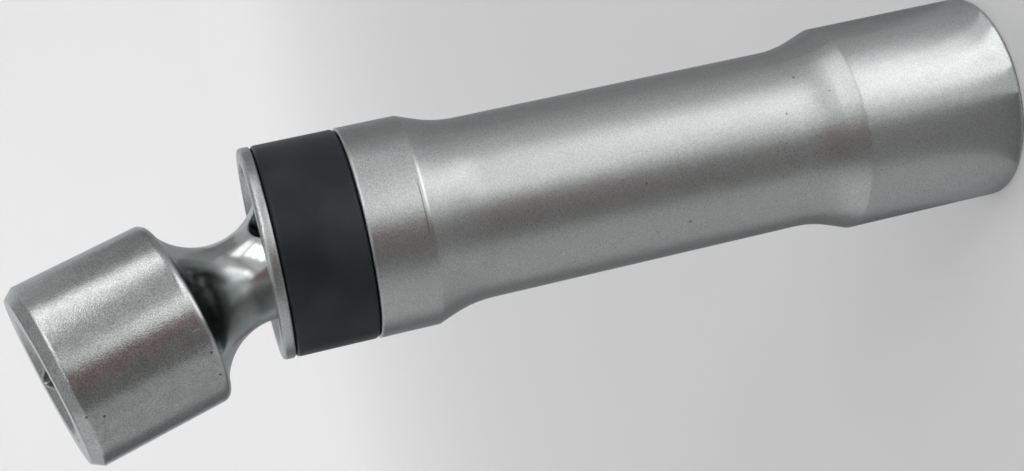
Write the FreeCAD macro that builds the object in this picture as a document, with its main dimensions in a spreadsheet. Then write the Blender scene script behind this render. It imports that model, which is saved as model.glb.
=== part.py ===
import FreeCAD, Part
import math
import os
import Sketcher

# A long thin-wall spark plug socket whose square drive head swivels on a pinned ball.
# +Z runs from the plug end up to the drive end, and the origin is the centre of the plug end's face.
# The cross pin lies along X. The drive head leans as it does in the photograph.

# Driving dimensions in millimetres, and in degrees where the note says so
drivingSizes = [
    ("jointHeight", 73.85, "ball centre above the plug end's face"),
    ("outsideDiameter", 22.1, "plug end and shoulder, turned from one bar"),
    ("plugEndLength", 17.6, "plug end, up to the ridge where its taper starts"),
    ("plugEndRound", 0.35, "rounding of the plug end's rim"),
    ("waistDiameter", 19.2, "slim middle"),
    ("taperAngle", 20, "degrees, slope of both tapers"),
    ("taperFillet", 12, "radius that blends each taper into the waist"),
    ("shoulderLength", 6.35, "shoulder, from its ridge to the band"),
    ("edgeBreak", 0.15, "chamfer on the sharp edges beside the band"),
    ("bandInset", 0.05, "dark retaining band and lip inside the outside diameter"),
    ("bandWidth", 8.8, "groove that holds the band"),
    ("bandThickness", 1.15, "wall of the band"),
    ("bandDrop", 3.5, "band's lower edge below the ball centre"),
    ("bandGap", 0.09, "gap at each side of the band"),
    ("bandSeatGap", 0.03, "gap under the band"),
    ("bandRound", 0.45, "rounding of the band's edges"),
    ("lipWidth", 1.25, "lip, from the band to the end face"),
    ("lipRound", 0.4, "rounding of the lip's outer edge"),
    ("ballDiameter", 16, "ball of the drive head"),
    ("ballClearance", 0.15, "gap between the ball and its bore"),
    ("ballBoreDepth", 10.5, "ball bore below the ball centre"),
    ("mouthDiameter", 19, "mouth of the ball bore at the end face"),
    ("mouthDepth", 4.2, "cone from the mouth down to the ball bore"),
    ("pinDiameter", 5, "cross pin"),
    ("pinHoleClearance", 0.05, "gap round the pin in the wall"),
    ("pinEndChamfer", 0.5, "chamfer on each end of the pin"),
    ("pinEndGap", 0.1, "gap between each end of the pin and the band's seat"),
    ("slotClearance", 0.1, "gap between the pin and the ball's slot"),
    ("slotSwingAngle", 36, "degrees, how far the slot opens each way from the ball's equator"),
    ("pinLeanAngle", 15.8, "degrees, the head's lean about the pin"),
    ("slotLeanAngle", -6.3, "degrees, the head's lean along the slot"),
    ("seatRimDrop", 4.6, "seat cup's rim below the ball centre"),
    ("seatThickness", 1.6, "seat cup under the ball"),
    ("seatClearance", 0.1, "gap between the ball and the seat cup"),
    ("seatSideGap", 0.1, "gap round the seat cup in the ball bore"),
    ("seatHoleDiameter", 4, "grease hole in the seat cup"),
    ("springPocketDiameter", 10.6, "pocket for the friction spring"),
    ("springPocketDepth", 5.8, "pocket below the ball bore"),
    ("springWire", 1.1, "wire of the friction spring"),
    ("springDiameter", 8.4, "friction spring, across its wire centres"),
    ("springTurns", 3.25, "turns of the friction spring"),
    ("hexAcrossFlats", 16.1, "twelve point opening for a 16 mm plug hexagon"),
    ("hexDepth", 16.5, "twelve point opening"),
    ("hexLeadDiameter", 19.2, "lead-in chamfer at the plug end's face"),
    ("reliefWidth", 1.5, "groove where the broach runs out"),
    ("reliefGap", 0.05, "relief groove outside the points"),
    ("pocketDiameter", 15.9, "pocket of the magnet and its sleeve"),
    ("pocketDepth", 8.5, "pocket above the relief groove"),
    ("insulatorDiameter", 13.6, "bore for the plug's insulator"),
    ("webThickness", 3, "web between the two bores"),
    ("drillPointAngle", 118, "degrees, tip of the insulator bore"),
    ("snapWire", 1, "wire of the snap ring"),
    ("snapSetback", 0.6, "snap ring's groove above the relief groove"),
    ("snapGrooveGap", 0.1, "groove wider than the wire"),
    ("snapBite", 0.5, "depth of the snap ring's groove"),
    ("snapOpeningAngle", 34, "degrees, gap in the snap ring"),
    ("sleeveGap", 0.05, "gap round the magnet sleeve"),
    ("sleeveWall", 0.65, "wall of the magnet sleeve"),
    ("sleeveLip", 0.5, "sleeve's lip under the magnet"),
    ("sleeveLipDiameter", 13.2, "opening in the sleeve's lip"),
    ("sleeveFlange", 0.7, "sleeve's flange above the magnet"),
    ("sleeveFlangeDiameter", 12.4, "opening in the sleeve's flange"),
    ("magnetBore", 11.6, "ring magnet's bore"),
    ("magnetGap", 0.02, "gap between the magnet and its sleeve"),
    ("headDiameter", 19.46, "square drive head"),
    ("headTop", 30.5, "head's face above the ball centre"),
    ("headChamferWidth", 0.8, "chamfer at the head's face, across"),
    ("headChamferHeight", 1.1, "chamfer at the head's face, along"),
    ("headCorner", 0.95, "rounding where the neck's curve meets the head"),
    ("neckDiameter", 9.44, "neck at its thinnest"),
    ("neckHeight", 9.3, "thinnest place above the ball centre"),
    ("squareSize", 9.55, "square drive hole across its flats"),
    ("squareDepth", 12.5, "square drive hole"),
    ("squareLeadDiameter", 12.7, "lead-in chamfer of the square hole"),
    ("squareCorner", 0.4, "rounding of the square hole's corners"),
    ("squareTurnAngle", -7, "degrees, the square hole's turn from the slot"),
    ("detentDepth", 6, "detent groove below the head's face"),
    ("detentWidth", 2.6, "detent groove, along"),
    ("detentDiameter", 11.4, "detent groove, across"),
]

sizeNumbers = {alias: value for alias, value, note in drivingSizes}

doc = FreeCAD.newDocument("plug_socket")
sheet = doc.addObject("Spreadsheet::Sheet", "Sizes")
for row, (alias, value, note) in enumerate(drivingSizes, start=1):
    sheet.set(f"A{row}", alias)
    sheet.set(f"B{row}", str(value))
    sheet.setAlias(f"B{row}", alias)
    sheet.set(f"C{row}", note)
doc.recompute()


class Formula:
    """A size as text for a binding, with the number that it comes to now."""

    def __init__(self, text, number):
        self.text = text
        self.number = number

    def combine(self, sign, other, number):
        return Formula(f"({self.text} {sign} {other.text})", number)

    def __add__(self, other):
        other = plain(other)
        return self.combine("+", other, self.number + other.number)

    def __sub__(self, other):
        other = plain(other)
        return self.combine("-", other, self.number - other.number)

    def __mul__(self, other):
        other = plain(other)
        return self.combine("*", other, self.number * other.number)

    def __truediv__(self, other):
        other = plain(other)
        return self.combine("/", other, self.number / other.number)

    def __rsub__(self, other):
        return plain(other) - self

    def __neg__(self):
        return Formula(f"(-1 * {self.text})", -self.number)

    def bind(self, feature, name):
        feature.setExpression(name, self.text)


def plain(value):
    return value if isinstance(value, Formula) else Formula(str(value), value)


def size(alias):
    return Formula("Sizes." + alias, sizeNumbers[alias])


def sine(angle):
    angle = plain(angle)
    return Formula(f"sin({angle.text})", math.sin(math.radians(angle.number)))


def cosine(angle):
    angle = plain(angle)
    return Formula(f"cos({angle.text})", math.cos(math.radians(angle.number)))


def tangent(angle):
    angle = plain(angle)
    return Formula(f"tan({angle.text})", math.tan(math.radians(angle.number)))


def root(area):
    return Formula(f"sqrt({area.text})", math.sqrt(area.number))


zero = plain(0)

# Heights above the plug end's face
jointHeight = size("jointHeight")
bandBottom = jointHeight - size("bandDrop")
bandTop = bandBottom + size("bandWidth")
lipTop = bandTop + size("lipWidth")
shoulderBottom = bandBottom - size("shoulderLength")
ballBoreFloor = jointHeight - size("ballBoreDepth")
springFloor = ballBoreFloor - size("springPocketDepth")
reliefTop = size("hexDepth") + size("reliefWidth")
pocketTop = reliefTop + size("pocketDepth")
snapBottom = reliefTop + size("snapSetback")
snapTop = snapBottom + size("snapWire") + size("snapGrooveGap")
insulatorTip = springFloor - size("webThickness")

# Radii shared by pieces that fit together
outsideRadius = size("outsideDiameter") / 2
waistRadius = size("waistDiameter") / 2
bandRadius = outsideRadius - size("bandInset")
bandBoreRadius = bandRadius - size("bandThickness")
bandSeatRadius = bandBoreRadius - size("bandSeatGap")
ballRadius = size("ballDiameter") / 2
ballBoreRadius = ballRadius + size("ballClearance")
pocketRadius = size("pocketDiameter") / 2
insulatorRadius = size("insulatorDiameter") / 2
pinRadius = size("pinDiameter") / 2
snapGrooveRadius = pocketRadius + size("snapBite")


def originPlane(body, role):
    """The body's own origin plane or axis with the given role."""
    return next(item for item in body.Origin.OriginFeatures if item.Role == role)


def newBody(label):
    body = doc.addObject("PartDesign::Body", label)
    body.Label = label
    return body


def newSketch(body, name, role):
    sketch = body.newObject("Sketcher::SketchObject", name)
    sketch.AttachmentSupport = [(originPlane(body, role), "")]
    sketch.MapMode = "FlatFace"
    return sketch


def placePoint(sketch, point, across, along):
    """Dimension a point of the sketch from its origin, or put it on an axis where the formula is zero."""
    for kind, place, axis in (("DistanceX", across, -2), ("DistanceY", along, -1)):
        if place is zero:
            sketch.addConstraint(Sketcher.Constraint("PointOnObject", *point, axis))
            continue
        number = sketch.addConstraint(Sketcher.Constraint(kind, -1, 1, *point, place.number))
        place.bind(sketch, f"Constraints[{number}]")


def arcCentre(start, end, radius, side):
    """Centre of the arc from start to end, to the left of the way for side 1 and to the right for side -1."""
    across, along = end[0] - start[0], end[1] - start[1]
    chord = math.hypot(across, along)
    reach = math.sqrt(max(radius * radius - chord * chord / 4, 0))
    middle = ((start[0] + end[0]) / 2, (start[1] + end[1]) / 2)
    return middle[0] - side * along / chord * reach, middle[1] + side * across / chord * reach


def closedProfile(sketch, corners, arcs=None):
    """A closed outline through corners of (across, along) formulas.

    arcs gives, by the number of the corner that an edge starts from, the radius of its arc and the side
    of the way on which its centre lies. Every corner is dimensioned from the sketch's origin.
    """
    arcs = arcs or {}
    points = [(across.number, along.number) for across, along in corners]
    count = len(points)
    ends = []
    for index, start in enumerate(points):
        end = points[(index + 1) % count]
        if index in arcs:
            radius, side = arcs[index]
            centre = arcCentre(start, end, radius.number, side)
            startAngle = math.atan2(start[1] - centre[1], start[0] - centre[0])
            endAngle = math.atan2(end[1] - centre[1], end[0] - centre[0])
            if side < 0:
                startAngle, endAngle = endAngle, startAngle
            circle = Part.Circle(FreeCAD.Vector(*centre, 0), FreeCAD.Vector(0, 0, 1), radius.number)
            sketch.addGeometry(Part.ArcOfCircle(circle, startAngle, endAngle), False)
            ends.append((1, 2) if side > 0 else (2, 1))
        else:
            line = Part.LineSegment(FreeCAD.Vector(*start, 0), FreeCAD.Vector(*end, 0))
            sketch.addGeometry(line, False)
            ends.append((1, 2))
    for index in range(count):
        following = (index + 1) % count
        join = Sketcher.Constraint("Coincident", index, ends[index][1], following, ends[following][0])
        sketch.addConstraint(join)
    for index, (across, along) in enumerate(corners):
        place = (index, ends[index][0])
        placePoint(sketch, place, across, along)
    for index, (radius, side) in arcs.items():
        number = sketch.addConstraint(Sketcher.Constraint("Radius", index, radius.number))
        radius.bind(sketch, f"Constraints[{number}]")
    return sketch


def turned(body, name, corners, arcs=None, kind="Revolution", degrees=None):
    """A turned solid, or a turned cut for kind Groove, about the body's Z axis."""
    sketch = closedProfile(newSketch(body, name + "_profile", "XZ_Plane"), corners, arcs)
    feature = body.newObject("PartDesign::" + kind, name)
    feature.Profile = sketch
    feature.ReferenceAxis = (originPlane(body, "Z_Axis"), [""])
    if degrees is None:
        feature.Angle = 360
    else:
        degrees.bind(feature, "Angle")
    return feature


def circleSketch(body, name, role, radius, across=zero, along=zero):
    sketch = newSketch(body, name, role)
    centre = FreeCAD.Vector(across.number, along.number, 0)
    sketch.addGeometry(Part.Circle(centre, FreeCAD.Vector(0, 0, 1), radius.number), False)
    placePoint(sketch, (0, 3), across, along)
    number = sketch.addConstraint(Sketcher.Constraint("Radius", 0, radius.number))
    radius.bind(sketch, f"Constraints[{number}]")
    return sketch


def socketBody():
    """One forging: plug end, waist and shoulder, bored from both ends with a web between."""
    body = newBody("socket_body")
    slope = size("taperAngle")
    fillet = size("taperFillet")
    blendRadius = waistRadius + fillet * (1 - cosine(slope))
    blendLength = fillet * sine(slope)
    lowerBlend = size("plugEndLength") + (outsideRadius - blendRadius) / tangent(slope)
    upperBlend = shoulderBottom - (outsideRadius - blendRadius) / tangent(slope)
    rim = size("plugEndRound")
    edge = size("edgeBreak")
    lipRound = size("lipRound")
    outside = [
        (zero, zero),
        (outsideRadius - rim, zero),
        (outsideRadius, rim),
        (outsideRadius, size("plugEndLength")),
        (blendRadius, lowerBlend),
        (waistRadius, lowerBlend + blendLength),
        (waistRadius, upperBlend - blendLength),
        (blendRadius, upperBlend),
        (outsideRadius, shoulderBottom),
        (outsideRadius, bandBottom - edge),
        (outsideRadius - edge, bandBottom),
        (bandSeatRadius, bandBottom),
        (bandSeatRadius, bandTop),
        (bandRadius - edge, bandTop),
        (bandRadius, bandTop + edge),
        (bandRadius, lipTop - lipRound),
        (bandRadius - lipRound, lipTop),
        (zero, lipTop),
    ]
    turned(body, "forging", outside, {1: (rim, 1), 4: (fillet, -1), 6: (fillet, -1), 15: (lipRound, 1)})

    springPocketRadius = size("springPocketDiameter") / 2
    ballSide = [
        (zero, lipTop),
        (size("mouthDiameter") / 2, lipTop),
        (ballBoreRadius, lipTop - size("mouthDepth")),
        (ballBoreRadius, ballBoreFloor),
        (springPocketRadius, ballBoreFloor),
        (springPocketRadius, springFloor),
        (zero, springFloor),
    ]
    turned(body, "ball_bore", ballSide, kind="Groove")

    leadRadius = size("hexLeadDiameter") / 2
    reliefRadius = size("hexAcrossFlats") / 2 / cosine(30) + size("reliefGap")
    tipHeight = insulatorRadius / tangent(size("drillPointAngle") / 2)
    plugSide = [
        (zero, zero),
        (leadRadius, zero),
        (pocketRadius, leadRadius - pocketRadius),
        (pocketRadius, size("hexDepth")),
        (reliefRadius, size("hexDepth")),
        (reliefRadius, reliefTop),
        (pocketRadius, reliefTop),
        (pocketRadius, snapBottom),
        (snapGrooveRadius, snapBottom),
        (snapGrooveRadius, snapTop),
        (pocketRadius, snapTop),
        (pocketRadius, pocketTop),
        (insulatorRadius, pocketTop),
        (insulatorRadius, insulatorTip - tipHeight),
        (zero, insulatorTip),
    ]
    turned(body, "plug_bore", plugSide, kind="Groove")

    # Two hexagonal broach cuts, 30 degrees apart, leave the twelve points
    cornerRadius = size("hexAcrossFlats") / 2 / cosine(30)
    hexagon = [
        (cornerRadius * cosine(step * 60), cornerRadius * sine(step * 60))
        for step in range(6)
    ]
    hexagon[0] = (cornerRadius, zero)
    hexagon[3] = (-cornerRadius, zero)
    sketch = closedProfile(newSketch(body, "hexagon", "XY_Plane"), hexagon)
    broach = body.newObject("PartDesign::Pocket", "broach")
    broach.Profile = sketch
    broach.Reversed = True
    (size("hexDepth") + size("reliefWidth") / 2).bind(broach, "Length")
    points = body.newObject("PartDesign::PolarPattern", "twelve_points")
    points.Originals = [broach]
    points.Axis = (originPlane(body, "Z_Axis"), [""])
    points.Angle = 30
    points.Occurrences = 2
    body.Tip = points

    holeRadius = pinRadius + size("pinHoleClearance")
    sketch = circleSketch(body, "pin_holes_circle", "YZ_Plane", holeRadius, along=jointHeight)
    holes = body.newObject("PartDesign::Pocket", "pin_holes")
    holes.Profile = sketch
    holes.Midplane = True
    (bandRadius * 4).bind(holes, "Length")
    return body


def retainingBand():
    """The dark spring band that lies in the groove and covers the ends of the pin."""
    body = newBody("retaining_band")
    bottom = bandBottom + size("bandGap")
    top = bandTop - size("bandGap")
    edge = size("bandRound")
    profile = [
        (bandBoreRadius, bottom),
        (bandRadius - edge, bottom),
        (bandRadius, bottom + edge),
        (bandRadius, top - edge),
        (bandRadius - edge, top),
        (bandBoreRadius, top),
    ]
    turned(body, "ring", profile, {1: (edge, 1), 3: (edge, 1)})
    return body


def crossPin():
    """The pin through the wall and the ball's slot, short enough for the band to pass over its ends."""
    body = newBody("cross_pin")
    chamfer = size("pinEndChamfer")
    faceRadius = pinRadius - chamfer
    reach = root(bandSeatRadius * bandSeatRadius - faceRadius * faceRadius)
    half = reach - size("pinEndGap")
    profile = [
        (zero, -half),
        (faceRadius, -half),
        (pinRadius, chamfer - half),
        (pinRadius, half - chamfer),
        (faceRadius, half),
        (zero, half),
    ]
    turned(body, "pin", profile)
    body.setExpression("Placement", f"placement(vector(0; 0; {jointHeight.text}); rotationy(90))")
    return body


def driveHead():
    """The ball, its waisted neck and the square drive head, one forging with a slot through the ball."""
    body = newBody("drive_head")
    headRadius = size("headDiameter") / 2
    neckRadius = size("neckDiameter") / 2
    neckHeight = size("neckHeight")
    headTop = size("headTop")
    corner = size("headCorner")
    # The neck's arc touches the ball and has its thinnest place at neckHeight
    spread = neckHeight * neckHeight + neckRadius * neckRadius - ballRadius * ballRadius
    neckArc = spread / ((ballRadius - neckRadius) * 2)
    arcAcross = neckRadius + neckArc
    touch = ballRadius / (ballRadius + neckArc)
    meetRadius = headRadius - corner
    drop = arcAcross - meetRadius
    meetHeight = neckHeight + root(neckArc * neckArc - drop * drop)
    profile = [
        (zero, -ballRadius),
        (arcAcross * touch, neckHeight * touch),
        (meetRadius, meetHeight),
        (headRadius, meetHeight + corner),
        (headRadius, headTop - size("headChamferHeight")),
        (headRadius - size("headChamferWidth"), headTop),
        (zero, headTop),
    ]
    arcs = {0: (ballRadius, 1), 1: (neckArc, -1), 2: (corner, 1)}
    turned(body, "forging", profile, arcs)

    # Square hole with rounded corners, broached down from the face
    half = size("squareSize") / 2
    flat = half - size("squareCorner")
    square = [
        (half, -flat),
        (half, flat),
        (flat, half),
        (-flat, half),
        (-half, flat),
        (-half, -flat),
        (-flat, -half),
        (flat, -half),
    ]
    sketch = newSketch(body, "square", "XY_Plane")
    closedProfile(sketch, square, {1: (size("squareCorner"), 1), 3: (size("squareCorner"), 1),
                                   5: (size("squareCorner"), 1), 7: (size("squareCorner"), 1)})
    headTop.bind(sketch, "AttachmentOffset.Base.z")
    size("squareTurnAngle").bind(sketch, "AttachmentOffset.Rotation.Angle")
    hole = body.newObject("PartDesign::Pocket", "square_hole")
    hole.Profile = sketch
    size("squareDepth").bind(hole, "Length")

    leadRadius = size("squareLeadDiameter") / 2
    lead = [
        (zero, headTop),
        (leadRadius, headTop),
        (zero, headTop - leadRadius),
    ]
    turned(body, "square_lead", lead, kind="Groove")

    # The detent groove only bites the middle of each flat
    detentRadius = size("detentDiameter") / 2
    detentMiddle = headTop - size("detentDepth")
    detentHalf = size("detentWidth") / 2
    groove = [
        (zero, detentMiddle - detentHalf),
        (detentRadius - detentHalf / 2, detentMiddle - detentHalf),
        (detentRadius, detentMiddle - detentHalf / 2),
        (detentRadius, detentMiddle + detentHalf / 2),
        (detentRadius - detentHalf / 2, detentMiddle + detentHalf),
        (zero, detentMiddle + detentHalf),
    ]
    turned(body, "detent", groove, kind="Groove")

    # The slot is the space that the pin sweeps: two round ends, each way from the equator, and the
    # flat-sided wedges between them
    slotRadius = pinRadius + size("slotClearance")
    reach = ballRadius + slotRadius
    wedgeHeight = reach * tangent(size("slotSwingAngle"))
    for side, name in ((1, "slot_end_up"), (-1, "slot_end_down")):
        end = body.newObject("PartDesign::SubtractiveCylinder", name)
        slotRadius.bind(end, "Radius")
        (reach * 2).bind(end, "Height")
        turn = 90 - size("slotSwingAngle") * side
        alongSwing = f"placement(vector(0; 0; 0); rotationy({turn.text}))"
        end.setExpression("Placement", f"{alongSwing} * placement(vector(0; 0; -{reach.text}); rotationy(0))")
    bowTie = [
        (reach, -wedgeHeight),
        (reach, wedgeHeight),
        (zero, slotRadius),
        (-reach, wedgeHeight),
        (-reach, -wedgeHeight),
        (zero, -slotRadius),
    ]
    sketch = closedProfile(newSketch(body, "slot_wedges", "XZ_Plane"), bowTie)
    slot = body.newObject("PartDesign::Pocket", "slot")
    slot.Profile = sketch
    slot.Midplane = True
    (slotRadius * 2).bind(slot, "Length")
    lean = f"rotationx({size('pinLeanAngle').text}) * rotationy({size('slotLeanAngle').text})"
    body.setExpression("Placement", f"placement(vector(0; 0; {jointHeight.text}); {lean})")
    return body


def seatCup():
    """The dished cup that the spring presses against the ball."""
    body = newBody("seat_cup")
    dish = ballRadius + size("seatClearance")
    rim = jointHeight - size("seatRimDrop")
    rimRadius = root(dish * dish - size("seatRimDrop") * size("seatRimDrop"))
    holeRadius = size("seatHoleDiameter") / 2
    holeTop = jointHeight - root(dish * dish - holeRadius * holeRadius)
    bottom = seatBottom()
    outer = ballBoreRadius - size("seatSideGap")
    profile = [
        (holeRadius, bottom),
        (outer, bottom),
        (outer, rim),
        (rimRadius, rim),
        (holeRadius, holeTop),
    ]
    turned(body, "cup", profile, {3: (dish, -1)})
    return body


def seatBottom():
    return jointHeight - ballRadius - size("seatClearance") - size("seatThickness")


def frictionSpring():
    """A short open coil between the pocket's floor and the seat cup, with ground ends."""
    body = newBody("friction_spring")
    wire = size("springWire") / 2
    meanRadius = size("springDiameter") / 2
    length = seatBottom() - springFloor
    sketch = circleSketch(body, "wire", "XZ_Plane", wire, meanRadius, springFloor)
    coil = body.newObject("PartDesign::AdditiveHelix", "coil")
    coil.Profile = sketch
    coil.ReferenceAxis = (originPlane(body, "Z_Axis"), [""])
    coil.Mode = "height-turns-angle"
    length.bind(coil, "Height")
    size("springTurns").bind(coil, "Turns")
    outer = meanRadius + size("springWire")
    for name, low, high in (("ground_foot", springFloor - size("springWire"), springFloor),
                            ("ground_top", springFloor + length, springFloor + length + size("springWire"))):
        turned(body, name, [(zero, low), (outer, low), (outer, high), (zero, high)], kind="Groove")
    return body


def snapRing():
    """An open wire ring in the pocket's groove, under the magnet's sleeve."""
    body = newBody("snap_ring")
    wire = size("snapWire") / 2
    across = snapGrooveRadius - wire - size("sleeveGap")
    along = (snapBottom + snapTop) / 2
    sketch = circleSketch(body, "wire", "XZ_Plane", wire, across, along)
    ring = body.newObject("PartDesign::Revolution", "ring")
    ring.Profile = sketch
    ring.ReferenceAxis = (originPlane(body, "Z_Axis"), [""])
    (360 - size("snapOpeningAngle")).bind(ring, "Angle")
    return body


sleeveBottom = snapTop + size("sleeveGap")
sleeveTop = pocketTop - size("sleeveGap")
sleeveRadius = pocketRadius - size("sleeveGap")
sleeveInside = sleeveRadius - size("sleeveWall")


def magnetSleeve():
    """The sleeve round the magnet, with a lip below it and a flange above it."""
    body = newBody("magnet_sleeve")
    lipOpening = size("sleeveLipDiameter") / 2
    flangeOpening = size("sleeveFlangeDiameter") / 2
    lipHeight = sleeveBottom + size("sleeveLip")
    flangeHeight = sleeveTop - size("sleeveFlange")
    profile = [
        (lipOpening, sleeveBottom),
        (sleeveRadius, sleeveBottom),
        (sleeveRadius, sleeveTop),
        (flangeOpening, sleeveTop),
        (flangeOpening, flangeHeight),
        (sleeveInside, flangeHeight),
        (sleeveInside, lipHeight),
        (lipOpening, lipHeight),
    ]
    turned(body, "sleeve", profile)
    return body


def plugMagnet():
    """A ring magnet: a cylinder with a bore, held inside the sleeve."""
    gap = size("magnetGap")
    bottom = sleeveBottom + size("sleeveLip") + gap
    length = sleeveTop - size("sleeveFlange") - gap - bottom
    outside = doc.addObject("Part::Cylinder", "magnet_outside")
    (sleeveInside - gap).bind(outside, "Radius")
    length.bind(outside, "Height")
    bottom.bind(outside, "Placement.Base.z")
    bore = doc.addObject("Part::Cylinder", "magnet_bore")
    (size("magnetBore") / 2).bind(bore, "Radius")
    (length * 2).bind(bore, "Height")
    (bottom - length / 2).bind(bore, "Placement.Base.z")
    magnet = doc.addObject("Part::Cut", "plug_magnet")
    magnet.Base = outside
    magnet.Tool = bore
    magnet.Label = "plug_magnet"
    return magnet


pieces = [
    socketBody(),
    retainingBand(),
    crossPin(),
    driveHead(),
    seatCup(),
    frictionSpring(),
    snapRing(),
    magnetSleeve(),
    plugMagnet(),
]
doc.recompute()

failed = [item.Name for item in doc.Objects if "Invalid" in item.State or "Error" in item.State]
if failed:
    raise SystemExit("features that failed: " + ", ".join(failed))
os.makedirs("parts", exist_ok=True)
for piece in pieces:
    shape = piece.Shape
    if shape.isNull() or not shape.isValid() or len(shape.Solids) != 1:
        raise SystemExit(f"{piece.Label} is not one valid solid")
for piece in pieces:
    piece.Shape.exportStep(f"parts/{piece.Label}.step")
    print(f"{piece.Label}: {piece.Shape.Volume:.1f} mm3")
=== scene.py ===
import bpy
import math
import numpy as np
from mathutils import Matrix, Quaternion, Vector

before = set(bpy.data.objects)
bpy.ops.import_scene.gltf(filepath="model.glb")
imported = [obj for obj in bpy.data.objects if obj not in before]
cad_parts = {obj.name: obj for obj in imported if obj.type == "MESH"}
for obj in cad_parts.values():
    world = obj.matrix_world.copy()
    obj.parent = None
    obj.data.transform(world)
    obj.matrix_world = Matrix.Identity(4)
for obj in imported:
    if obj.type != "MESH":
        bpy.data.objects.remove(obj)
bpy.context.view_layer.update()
print("frame loaded:", ", ".join(sorted(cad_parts)))


# Shader kit

class Wire:
    # one output socket; arithmetic on it adds Math nodes
    def __init__(self, finish, socket):
        self.finish = finish
        self.socket = socket

    def made(self, operation, *values):
        return self.finish.node("ShaderNodeMath", {"operation": operation}, dict(enumerate(values)))

    def __add__(self, other):
        return self.made("ADD", self, other)

    def __radd__(self, other):
        return self.made("ADD", other, self)

    def __sub__(self, other):
        return self.made("SUBTRACT", self, other)

    def __rsub__(self, other):
        return self.made("SUBTRACT", other, self)

    def __mul__(self, other):
        return self.made("MULTIPLY", self, other)

    def __rmul__(self, other):
        return self.made("MULTIPLY", other, self)

    def most(self, other):
        return self.made("MAXIMUM", self, other)


class Finish:
    # a material and the nodes that make it
    def __init__(self, name):
        self.material = bpy.data.materials.new(name)
        self.material.use_nodes = True
        self.tree = self.material.node_tree
        self.tree.nodes.clear()
        self.place = self.node("ShaderNodeTexCoord", {}, {}, "Object")

    def node(self, kind, settings, inputs, out=0):
        # every node is made here: its settings first, then the value or the wire of each input
        made = self.tree.nodes.new(kind)
        for key, value in settings.items():
            setattr(made, key, value)
        for key, value in inputs.items():
            if isinstance(value, Wire):
                self.tree.links.new(value.socket, made.inputs[key])
            else:
                made.inputs[key].default_value = value
        return None if out is None else Wire(self, made.outputs[out])

    def noise(self, size, detail=2.0):
        # size is that of one blotch, in metres
        inputs = {"Vector": self.place, "Scale": 1.0 / size, "Detail": detail}
        return self.node("ShaderNodeTexNoise", {}, inputs, "Fac")

    def ease(self, value, low, high, start=0.0, end=1.0):
        # goes smoothly from start to end while value goes from low to high
        inputs = {"Value": value, "From Min": low, "From Max": high, "To Min": start, "To Max": end}
        return self.node("ShaderNodeMapRange", {"interpolation_type": "SMOOTHSTEP"}, inputs, "Result")

    def fade(self, distance, reach):
        # 1 up to two fifths of the reach, 0 beyond all of it
        return self.ease(distance, reach * 0.4, reach, 1.0, 0.0)

    def mix(self, share, first, second):
        return self.node("ShaderNodeMix", {"data_type": "RGBA"}, {0: share, 6: first, 7: second}, 2)

    def vector(self, operation, first, second, out=0):
        return self.node("ShaderNodeVectorMath", {"operation": operation}, {0: first, 1: second}, out)

    def along(self, origin, direction):
        # how far a point is from origin, measured along a unit direction
        offset = self.vector("SUBTRACT", self.place, origin)
        return self.vector("DOT_PRODUCT", offset, direction, "Value")

    def spot(self, point, reach):
        return self.fade(self.vector("DISTANCE", self.place, point, "Value"), reach)

    def spots(self, places):
        # the highest of many spots, each a point and a reach
        highest = None
        for point, reach in places:
            spot = self.spot(point, reach)
            highest = spot if highest is None else highest.most(spot)
        return highest

    def ringLine(self, height, half):
        # a thin line round the upright axis at that height; half is half of its width
        offset = self.along((0.0, 0.0, height), (0.0, 0.0, 1.0))
        return self.fade(offset.most(offset * -1.0), half)

    def bump(self, height, depth, edge=None):
        # edge is the radius by which sharp edges look rounded
        inputs = {"Height": height, "Distance": depth, "Strength": 1.0}
        if edge:
            inputs["Normal"] = self.node("ShaderNodeBevel", {"samples": 6}, {"Radius": edge}, "Normal")
        return self.node("ShaderNodeBump", {}, inputs, "Normal")

    def surface(self, inputs):
        shader = self.node("ShaderNodeBsdfPrincipled", {}, inputs)
        self.node("ShaderNodeOutputMaterial", {}, {"Surface": shader}, None)
        return self.material


def rgb(red, green, blue):
    return (red, green, blue, 1.0)


def dress(node, material):
    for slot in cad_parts[node].material_slots:
        slot.material = material


# Satin chrome of the long socket

socketLooks = {
    "light": rgb(0.650, 0.680, 0.675),
    "dull": rgb(0.545, 0.567, 0.562),
    "tint": rgb(0.65, 0.65, 0.67),
    "roughness": 0.31,
    # sizes in metres; a range says where the noise starts and stops to count
    "grain": 0.00016,
    "grainDepth": 0.000015,
    "grainRange": (0.62, 0.38),
    "grainTone": rgb(0.30, 0.31, 0.31),
    "grainShare": 0.34,
    "grainRoughness": 0.16,
    "blotch": 0.0016,
    "cloud": 0.018,
    "cloudShare": 0.4,
    "cloudRoughness": 0.06,
    "dullRange": (0.38, 0.66),
    "dullShare": 0.25,
    "edge": 0.0004,
    # small dark pits: where, and how wide from the middle
    "pitTone": rgb(0.12, 0.11, 0.11),
    "pitShare": 0.8,
    "pits": [
        ((0.00927, -0.00257, 0.02305), 0.00020),
        ((0.00859, -0.00530, 0.02023), 0.00014),
        ((0.00745, -0.00606, 0.02534), 0.00016),
        ((-0.00075, -0.00957, 0.03725), 0.00022),
        ((0.00444, -0.00851, 0.04161), 0.00014),
    ],
    # thin painted lines along the shoulder's ridge, a painted highlight in white and a painted shade
    # line beside it: how high, half of the width, the point that they fade away from, and how far they
    # reach
    "paintedRidgeLines": [
        {"height": 0.06409, "half": 0.00018, "point": (0.00877, -0.00672, 0.06409), "reach": 0.0041,
         "share": 0.80, "tone": rgb(1.0, 1.0, 1.0)},
        {"height": 0.06448, "half": 0.00010, "point": (0.00745, -0.00816, 0.06448), "reach": 0.0034,
         "share": 0.75, "tone": rgb(0.26, 0.26, 0.26)},
    ],
}


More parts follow.
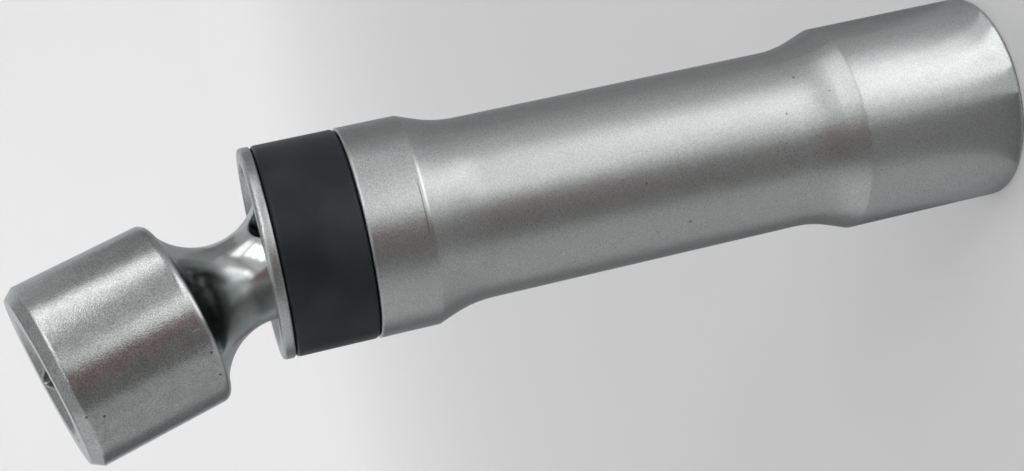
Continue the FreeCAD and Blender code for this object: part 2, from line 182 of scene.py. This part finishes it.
def satinChrome():
    made = Finish("satin_chrome")
    looks = socketLooks
    grain = made.noise(looks["grain"], detail=3.0)
    blotch = made.noise(looks["blotch"], detail=3.0)
    cloud = made.noise(looks["cloud"])
    patches = blotch * (1.0 - looks["cloudShare"]) + cloud * looks["cloudShare"]
    dullness = made.ease(patches, *looks["dullRange"])
    colour = made.mix(dullness * looks["dullShare"], looks["light"], looks["dull"])
    hollows = made.ease(grain, *looks["grainRange"])
    colour = made.mix(hollows * looks["grainShare"], colour, looks["grainTone"])
    colour = made.mix(made.spots(looks["pits"]) * looks["pitShare"], colour, looks["pitTone"])
    # paint the ridge's highlight and the shade line beside it into the colour
    for line in looks["paintedRidgeLines"]:
        paintedRidgeLine = made.ringLine(line["height"], line["half"]) * made.spot(line["point"], line["reach"])
        colour = made.mix(paintedRidgeLine * line["share"], colour, line["tone"])
    grainGloss = (grain - 0.5) * looks["grainRoughness"]
    cloudGloss = (cloud - 0.5) * looks["cloudRoughness"]
    return made.surface({
        "Base Color": colour,
        "Metallic": 1.0,
        "Specular Tint": looks["tint"],
        "Roughness": looks["roughness"] + grainGloss + cloudGloss,
        "Normal": made.bump(grain, looks["grainDepth"], looks["edge"]),
    })


# Pearl chrome of the drive head, polished on its neck and ball

headLooks = {
    # the ball's centre, the head's own axis, and how far along it the polish stops
    "pivot": (0.0, 0.0, 0.07385),
    "axis": (-0.10973, -0.27064, 0.95641),
    "neckEnd": 0.0158,
    "neckFade": 0.0008,
    "light": rgb(0.672, 0.697, 0.692),
    "dull": rgb(0.515, 0.536, 0.533),
    "tint": rgb(0.65, 0.65, 0.67),
    "roughness": 0.22,
    "neckRoughness": 0.18,
    "grain": 0.00015,
    "grainDepth": 0.000012,
    "grainRange": (0.62, 0.36),
    "grainTone": rgb(0.22, 0.22, 0.23),
    "grainShare": 0.42,
    "grainRoughness": 0.2,
    "blotch": 0.0011,
    "dullRange": (0.35, 0.7),
    "dullShare": 0.5,
    "edge": 0.0004,
    "pitTone": rgb(0.10, 0.09, 0.09),
    "pitShare": 0.8,
    "pits": [
        ((0.00010, -0.01372, 0.08731), 0.00020),
        ((-0.00274, -0.01377, 0.08693), 0.00020),
        ((-0.00122, -0.01718, 0.09961), 0.00020),
        ((-0.00185, -0.01688, 0.09806), 0.00020),
    ],
    # the bright scratch near the neck, and the burr at the square hole
    "scratchTone": rgb(0.95, 0.95, 0.95),
    "scratchShare": 0.9,
    "scratch": [
        ((0.00256, -0.01314, 0.08861), 0.00012),
        ((0.00258, -0.01309, 0.08845), 0.00012),
        ((0.00259, -0.01304, 0.08828), 0.00012),
        ((0.00260, -0.01300, 0.08811), 0.00012),
        ((0.00261, -0.01298, 0.08796), 0.00012),
        ((-0.00130, -0.01287, 0.10195), 0.00020),
    ],
}


def pearlChrome():
    made = Finish("pearl_chrome")
    looks = headLooks
    height = made.along(looks["pivot"], looks["axis"])
    pearly = made.ease(height, looks["neckEnd"], looks["neckEnd"] + looks["neckFade"])
    grain = made.noise(looks["grain"], detail=3.0)
    blotch = made.noise(looks["blotch"], detail=3.0)
    dullness = made.ease(blotch, *looks["dullRange"])
    colour = made.mix(dullness * looks["dullShare"], looks["light"], looks["dull"])
    hollows = made.ease(grain, *looks["grainRange"]) * pearly
    colour = made.mix(hollows * looks["grainShare"], colour, looks["grainTone"])
    colour = made.mix(made.spots(looks["pits"]) * looks["pitShare"], colour, looks["pitTone"])
    colour = made.mix(made.spots(looks["scratch"]) * looks["scratchShare"], colour, looks["scratchTone"])
    rise = looks["roughness"] - looks["neckRoughness"]
    grainGloss = (grain - 0.5) * looks["grainRoughness"]
    return made.surface({
        "Base Color": colour,
        "Metallic": 1.0,
        "Specular Tint": looks["tint"],
        "Roughness": looks["neckRoughness"] + pearly * (rise + grainGloss),
        "Normal": made.bump(grain * pearly, looks["grainDepth"], looks["edge"]),
    })


# Black finish of the retaining band

bandLooks = {
    "dark": rgb(0.0130, 0.0155, 0.0180),
    "worn": rgb(0.025, 0.029, 0.032),
    "wornRange": (0.35, 0.7),
    "cloud": 0.006,
    "grain": 0.00025,
    "grainDepth": 0.000003,
    "grainRoughness": 0.2,
    "roughness": 0.42,
    "shine": 0.3,
}


def blackBand():
    made = Finish("black_oxide")
    looks = bandLooks
    grain = made.noise(looks["grain"], detail=3.0)
    cloud = made.noise(looks["cloud"], detail=3.0)
    return made.surface({
        "Base Color": made.mix(made.ease(cloud, *looks["wornRange"]), looks["dark"], looks["worn"]),
        "Metallic": 0.0,
        "Specular IOR Level": looks["shine"],
        "Roughness": looks["roughness"] + (grain - 0.5) * looks["grainRoughness"],
        "Normal": made.bump(grain, looks["grainDepth"]),
    })


# Plain steel of the parts inside the joint and the bore

steelLooks = {
    "light": rgb(0.46, 0.46, 0.47),
    "dark": rgb(0.30, 0.29, 0.28),
    "darkRange": (0.35, 0.7),
    "cloud": 0.003,
    "grain": 0.0003,
    "grainDepth": 0.000004,
    "grainRoughness": 0.2,
    "roughness": 0.34,
}


def hardSteel():
    made = Finish("hard_steel")
    looks = steelLooks
    grain = made.noise(looks["grain"], detail=3.0)
    cloud = made.noise(looks["cloud"], detail=3.0)
    return made.surface({
        "Base Color": made.mix(made.ease(cloud, *looks["darkRange"]), looks["light"], looks["dark"]),
        "Metallic": 1.0,
        "Roughness": looks["roughness"] + (grain - 0.5) * looks["grainRoughness"],
        "Normal": made.bump(grain, looks["grainDepth"]),
    })


# Moulded nylon sleeve

sleeveLooks = {
    "dark": rgb(0.020, 0.020, 0.022),
    "light": rgb(0.034, 0.034, 0.036),
    "cloud": 0.004,
    "grain": 0.00035,
    "grainDepth": 0.000006,
    "grainRoughness": 0.2,
    "roughness": 0.5,
}


def mouldedNylon():
    made = Finish("sleeve_nylon")
    looks = sleeveLooks
    grain = made.noise(looks["grain"])
    cloud = made.noise(looks["cloud"])
    return made.surface({
        "Base Color": made.mix(cloud, looks["dark"], looks["light"]),
        "Roughness": looks["roughness"] + (grain - 0.5) * looks["grainRoughness"],
        "Normal": made.bump(grain, looks["grainDepth"]),
    })


# Nickel skin of the magnet

magnetLooks = {
    "light": rgb(0.68, 0.65, 0.60),
    "dark": rgb(0.48, 0.45, 0.41),
    "darkRange": (0.35, 0.7),
    "cloud": 0.002,
    "grain": 0.0002,
    "grainDepth": 0.000002,
    "grainRoughness": 0.14,
    "roughness": 0.22,
}


def nickelSkin():
    made = Finish("magnet_nickel")
    looks = magnetLooks
    grain = made.noise(looks["grain"])
    cloud = made.noise(looks["cloud"], detail=3.0)
    return made.surface({
        "Base Color": made.mix(made.ease(cloud, *looks["darkRange"]), looks["light"], looks["dark"]),
        "Metallic": 1.0,
        "Roughness": looks["roughness"] + (grain - 0.5) * looks["grainRoughness"],
        "Normal": made.bump(grain, looks["grainDepth"]),
    })


dress("socket_body", satinChrome())
dress("drive_head", pearlChrome())
dress("retaining_band", blackBand())
steel = hardSteel()
for inner in ("cross_pin", "seat_cup", "friction_spring", "snap_ring"):
    dress(inner, steel)
dress("magnet_sleeve", mouldedNylon())
dress("plug_magnet", nickelSkin())
print("finishes given to every part")


# Camera, rolled so that the standing socket lies across the picture

cameraValues = {
    "place": (0.099707, -0.136431, 0.088546),
    "target": (-0.000387, -0.005680, 0.055240),
    "roll": -102.78,
    "lens": 57.753,
    "sensor": 36.0,
    "nearest": 0.01,
    "furthest": 20.0,
}


def makeCamera():
    values = cameraValues
    data = bpy.data.cameras.new("camera")
    data.lens = values["lens"]
    data.sensor_width = values["sensor"]
    data.clip_start = values["nearest"]
    data.clip_end = values["furthest"]
    camera = bpy.data.objects.new("camera", data)
    bpy.context.scene.collection.objects.link(camera)
    ahead = (Vector(values["target"]) - Vector(values["place"])).normalized()
    turn = Quaternion((0.0, 0.0, 1.0), math.radians(values["roll"]))
    camera.location = values["place"]
    camera.rotation_mode = "QUATERNION"
    camera.rotation_quaternion = ahead.to_track_quat("-Z", "Y") @ turn
    bpy.context.scene.camera = camera
    return camera


camera = makeCamera()


# Pale floor that sweeps up into a round wall

floorValues = {
    "middle": 0.02,
    "flat": 1.5,
    "bend": 0.8,
    "height": 2.6,
    "flatRings": 11,
    "bendRings": 25,
    "turns": 96,
    "pale": rgb(0.80, 0.80, 0.80),
    "paler": rgb(0.84, 0.84, 0.84),
    "cloud": 0.4,
    "roughness": 0.9,
}


def paleFloor():
    # a profile of radius and height, turned once round the upright axis:
    # flat out to the bend, a quarter circle, then straight up
    values = floorValues
    quarter = np.linspace(0.0, math.pi / 2, values["bendRings"])
    flat = np.linspace(values["middle"], values["flat"], values["flatRings"] + 1)[:-1]
    wall = values["flat"] + values["bend"]
    radius = np.concatenate((flat, values["flat"] + values["bend"] * np.sin(quarter), [wall]))
    bendHeight = values["bend"] * (1.0 - np.cos(quarter))
    height = np.concatenate((np.zeros(values["flatRings"]), bendHeight, [values["height"]]))
    turn = np.linspace(0.0, 2.0 * math.pi, values["turns"], endpoint=False)
    across = radius[:, None] * np.cos(turn)
    ahead = radius[:, None] * np.sin(turn)
    upward = np.broadcast_to(height[:, None], across.shape)
    grid = np.stack((across, ahead, upward), axis=-1)
    points = np.concatenate((grid.reshape(-1, 3), [[0.0, 0.0, 0.0]]))
    index = np.arange(across.size).reshape(across.shape)
    following = np.roll(index, -1, axis=1)
    quads = np.stack((index[:-1], index[1:], following[1:], following[:-1]), axis=-1).reshape(-1, 4)
    centre = np.full(len(turn), across.size)
    fan = np.stack((centre, index[0], following[0]), axis=-1)
    mesh = bpy.data.meshes.new("pale_floor")
    mesh.from_pydata(points.tolist(), [], quads.tolist() + fan.tolist())
    mesh.polygons.foreach_set("use_smooth", np.ones(len(mesh.polygons), dtype=bool))
    floor = bpy.data.objects.new("pale_floor", mesh)
    bpy.context.scene.collection.objects.link(floor)
    made = Finish("pale_floor")
    tone = made.mix(made.noise(values["cloud"]), values["pale"], values["paler"])
    mesh.materials.append(made.surface({"Base Color": tone, "Roughness": values["roughness"]}))


paleFloor()


# Soft studio light. Every light is a flat panel, whose glow is the brightness of its face.

def panel(name, place, facing, sideways, width, height, glow):
    data = bpy.data.lights.new(name, "AREA")
    data.shape = "RECTANGLE"
    data.size = width
    data.size_y = height
    data.energy = math.pi * width * height * glow
    light = bpy.data.objects.new(name, data)
    bpy.context.scene.collection.objects.link(light)
    back = -Vector(facing).normalized()
    across = Vector(sideways).normalized()
    upward = back.cross(across).normalized()
    columns = ((across.x, upward.x, back.x), (across.y, upward.y, back.y), (across.z, upward.z, back.z))
    light.rotation_mode = "QUATERNION"
    light.rotation_quaternion = Matrix(columns).to_quaternion()
    light.location = place
    light.visible_camera = False
    return light


# Panels round the socket, placed as seen in the picture.
# up: degrees from the camera towards the picture's top; along: metres to its right

panelValues = {
    "upper_strip": {"up": 71, "along": -0.20, "distance": 0.42, "size": (0.26, 0.14), "glow": 1.17},
    "strip_50": {"up": 50, "along": -0.20, "distance": 0.42, "size": (0.20, 0.08), "glow": 2.34},
    "strip_35": {"up": 35, "along": -0.20, "distance": 0.42, "size": (0.20, 0.08), "glow": 2.53},
    "strip_20": {"up": 20, "along": -0.20, "distance": 0.42, "size": (0.20, 0.08), "glow": 3.21},
    "low_strip": {"up": -12, "along": -0.25, "distance": 0.5, "size": (0.22, 0.16), "glow": 1.39},
    "taper_panel": {"up": 44, "along": 0.011, "distance": 0.10, "size": (0.02, 0.08), "glow": 0.51},
    "fill": {"up": -92, "along": 0.0, "distance": 0.6, "size": (0.9, 0.6), "glow": 0.17},
}


def makePanels():
    pictureTurn = camera.rotation_quaternion
    right = pictureTurn @ Vector((1.0, 0.0, 0.0))
    up = pictureTurn @ Vector((0.0, 1.0, 0.0))
    back = pictureTurn @ Vector((0.0, 0.0, 1.0))
    middle = Vector(cameraValues["target"])
    for name, values in panelValues.items():
        lean = math.radians(values["up"])
        outward = back * math.cos(lean) + up * math.sin(lean)
        place = middle + right * values["along"] + outward * values["distance"]
        panel(name, place, -outward, right, *values["size"], values["glow"])


# Glowing patches on the floor, in rings round the socket: the directions that they share, how high
# they lie, how far each ring reaches, and its glow in each direction

ringValues = {
    "turns": (-50, -36, -22, -8, 6),
    "rise": 0.00012,
    "rings": [
        {"near": 0.0112, "far": 0.0175, "glow": (0.25, 1.05, 1.15, 0.40, 0.05)},
        {"near": 0.0175, "far": 0.030, "glow": (0.30, 1.10, 1.25, 0.85, 0.10)},
        {"near": 0.030, "far": 0.060, "glow": (0.30, 1.00, 1.30, 1.20, 0.50)},
        {"near": 0.060, "far": 0.105, "glow": (0.10, 0.30, 0.80, 0.85, 0.40)},
        {"near": 0.105, "far": 0.160, "glow": (0.10, 0.50, 0.95, 1.35, 0.55)},
        {"near": 0.160, "far": 0.260, "glow": (0.0, 0.70, 0.56, 0.55, 0.10)},
        {"near": 0.260, "far": 0.380, "glow": (1.0, 1.50, 0.30, 0.0, 0.0)},
        {"near": 0.380, "far": 0.550, "glow": (0.30, 0.55, 0.0, 0.0, 0.0)},
    ],
}


def makeRings():
    turns = ringValues["turns"]
    half = math.radians(turns[1] - turns[0]) / 2
    rise = Vector((0.0, 0.0, ringValues["rise"]))
    for number, values in enumerate(ringValues["rings"]):
        length = values["far"] - values["near"]
        reach = (values["near"] + values["far"]) / 2
        wide = 2.0 * reach * math.tan(half)
        for turn, glow in zip(turns, values["glow"]):
            if glow == 0.0:
                continue
            outward = Vector((math.cos(math.radians(turn)), math.sin(math.radians(turn)), 0.0))
            place = outward * reach + rise
            panel("ring_%d_%d" % (number, turn), place, (0.0, 0.0, 1.0), outward, length, wide, glow)


# Two soft lights that wash the floor and the wall, in front of the camera and behind it, and that
# the metal doesn't mirror: which way, where they hang, what they face, and how strong each one is

washValues = {
    "ahead": (-0.61, 0.79),
    "out": 0.86,
    "high": 1.6,
    "aimOut": 2.0,
    "aimHigh": 0.7,
    "width": 1.2,
    "glow": (4.3, 2.1),
}


def makeWashes():
    wash = washValues
    for side, glow in zip((1.0, -1.0), wash["glow"]):
        ahead = Vector((*wash["ahead"], 0.0)) * side
        place = ahead * wash["out"] + Vector((0.0, 0.0, wash["high"]))
        facing = ahead * wash["aimOut"] + Vector((0.0, 0.0, wash["aimHigh"])) - place
        across = Vector((0.0, 0.0, 1.0)).cross(facing)
        light = panel("wash_%+d" % side, place, facing, across, wash["width"], wash["width"], glow)
        light.visible_glossy = False


# Darker cards on the floor, which only the metal sees, as a studio's cards are kept out of the
# picture: between which directions and how far out each one reaches, how high it lies, how high
# a wall stands at its far edge, and how pale it is

cardValues = {
    "faceTurn": 4,
    "cards": [
        {"azimuth": (0, 360), "reach": (0.0112, 1.4), "rise": 0.00005, "wall": 0.0,
         "tone": rgb(0.56, 0.56, 0.56)},
        {"azimuth": (-102, -57), "reach": (0.0112, 0.06), "rise": 0.0002, "wall": 0.0,
         "tone": rgb(0.31, 0.30, 0.30)},
        {"azimuth": (-102, -54), "reach": (0.06, 0.22), "rise": 0.0002, "wall": 0.0,
         "tone": rgb(0.245, 0.225, 0.225)},
        {"azimuth": (-102, -72), "reach": (0.22, 0.62), "rise": 0.0002, "wall": 0.6,
         "tone": rgb(0.23, 0.225, 0.22)},
        {"azimuth": (-72, -50), "reach": (0.22, 0.62), "rise": 0.0002, "wall": 0.6,
         "tone": rgb(0.27, 0.18, 0.185)},
        {"azimuth": (156, 188), "reach": (0.0112, 0.50), "rise": 0.0002, "wall": 0.2,
         "tone": rgb(0.29, 0.29, 0.29)},
        {"azimuth": (40, 88), "reach": (0.0112, 0.50), "rise": 0.0002, "wall": 0.2,
         "tone": rgb(0.38, 0.38, 0.38)},
    ],
}


def card(name, values):
    # a sector of the floor between two directions, whose far edge is carried straight up
    first, last = values["azimuth"]
    near, far = values["reach"]
    low = values["rise"]
    turn = np.radians(np.linspace(first, last, 2 + round((last - first) / cardValues["faceTurn"])))
    reach = np.array([near, far, far])[:, None]
    height = np.array([low, low, low + values["wall"]])[:, None]
    across = reach * np.cos(turn)
    ahead = reach * np.sin(turn)
    grid = np.stack((across, ahead, np.broadcast_to(height, across.shape)), axis=-1)
    index = np.arange(across.size).reshape(across.shape)
    quads = np.stack((index[:-1, :-1], index[:-1, 1:], index[1:, 1:], index[1:, :-1]), axis=-1)
    mesh = bpy.data.meshes.new(name)
    mesh.from_pydata(grid.reshape(-1, 3).tolist(), [], quads.reshape(-1, 4).tolist())
    sector = bpy.data.objects.new(name, mesh)
    bpy.context.scene.collection.objects.link(sector)
    mesh.materials.append(Finish(name).surface({"Base Color": values["tone"], "Roughness": 1.0}))
    sector.visible_camera = False
    sector.visible_diffuse = False
    sector.visible_shadow = False


worldTone = rgb(0.332, 0.332, 0.332)


def makeWorld():
    world = bpy.data.worlds.new("studio")
    world.use_nodes = True
    world.node_tree.nodes["Background"].inputs["Color"].default_value = worldTone
    bpy.context.scene.world = world


makePanels()
makeRings()
makeWashes()
makeWorld()
for number, values in enumerate(cardValues["cards"]):
    card("card_%d" % number, values)
bpy.context.scene.view_settings.view_transform = "Standard"
print("camera, floor and lights placed")
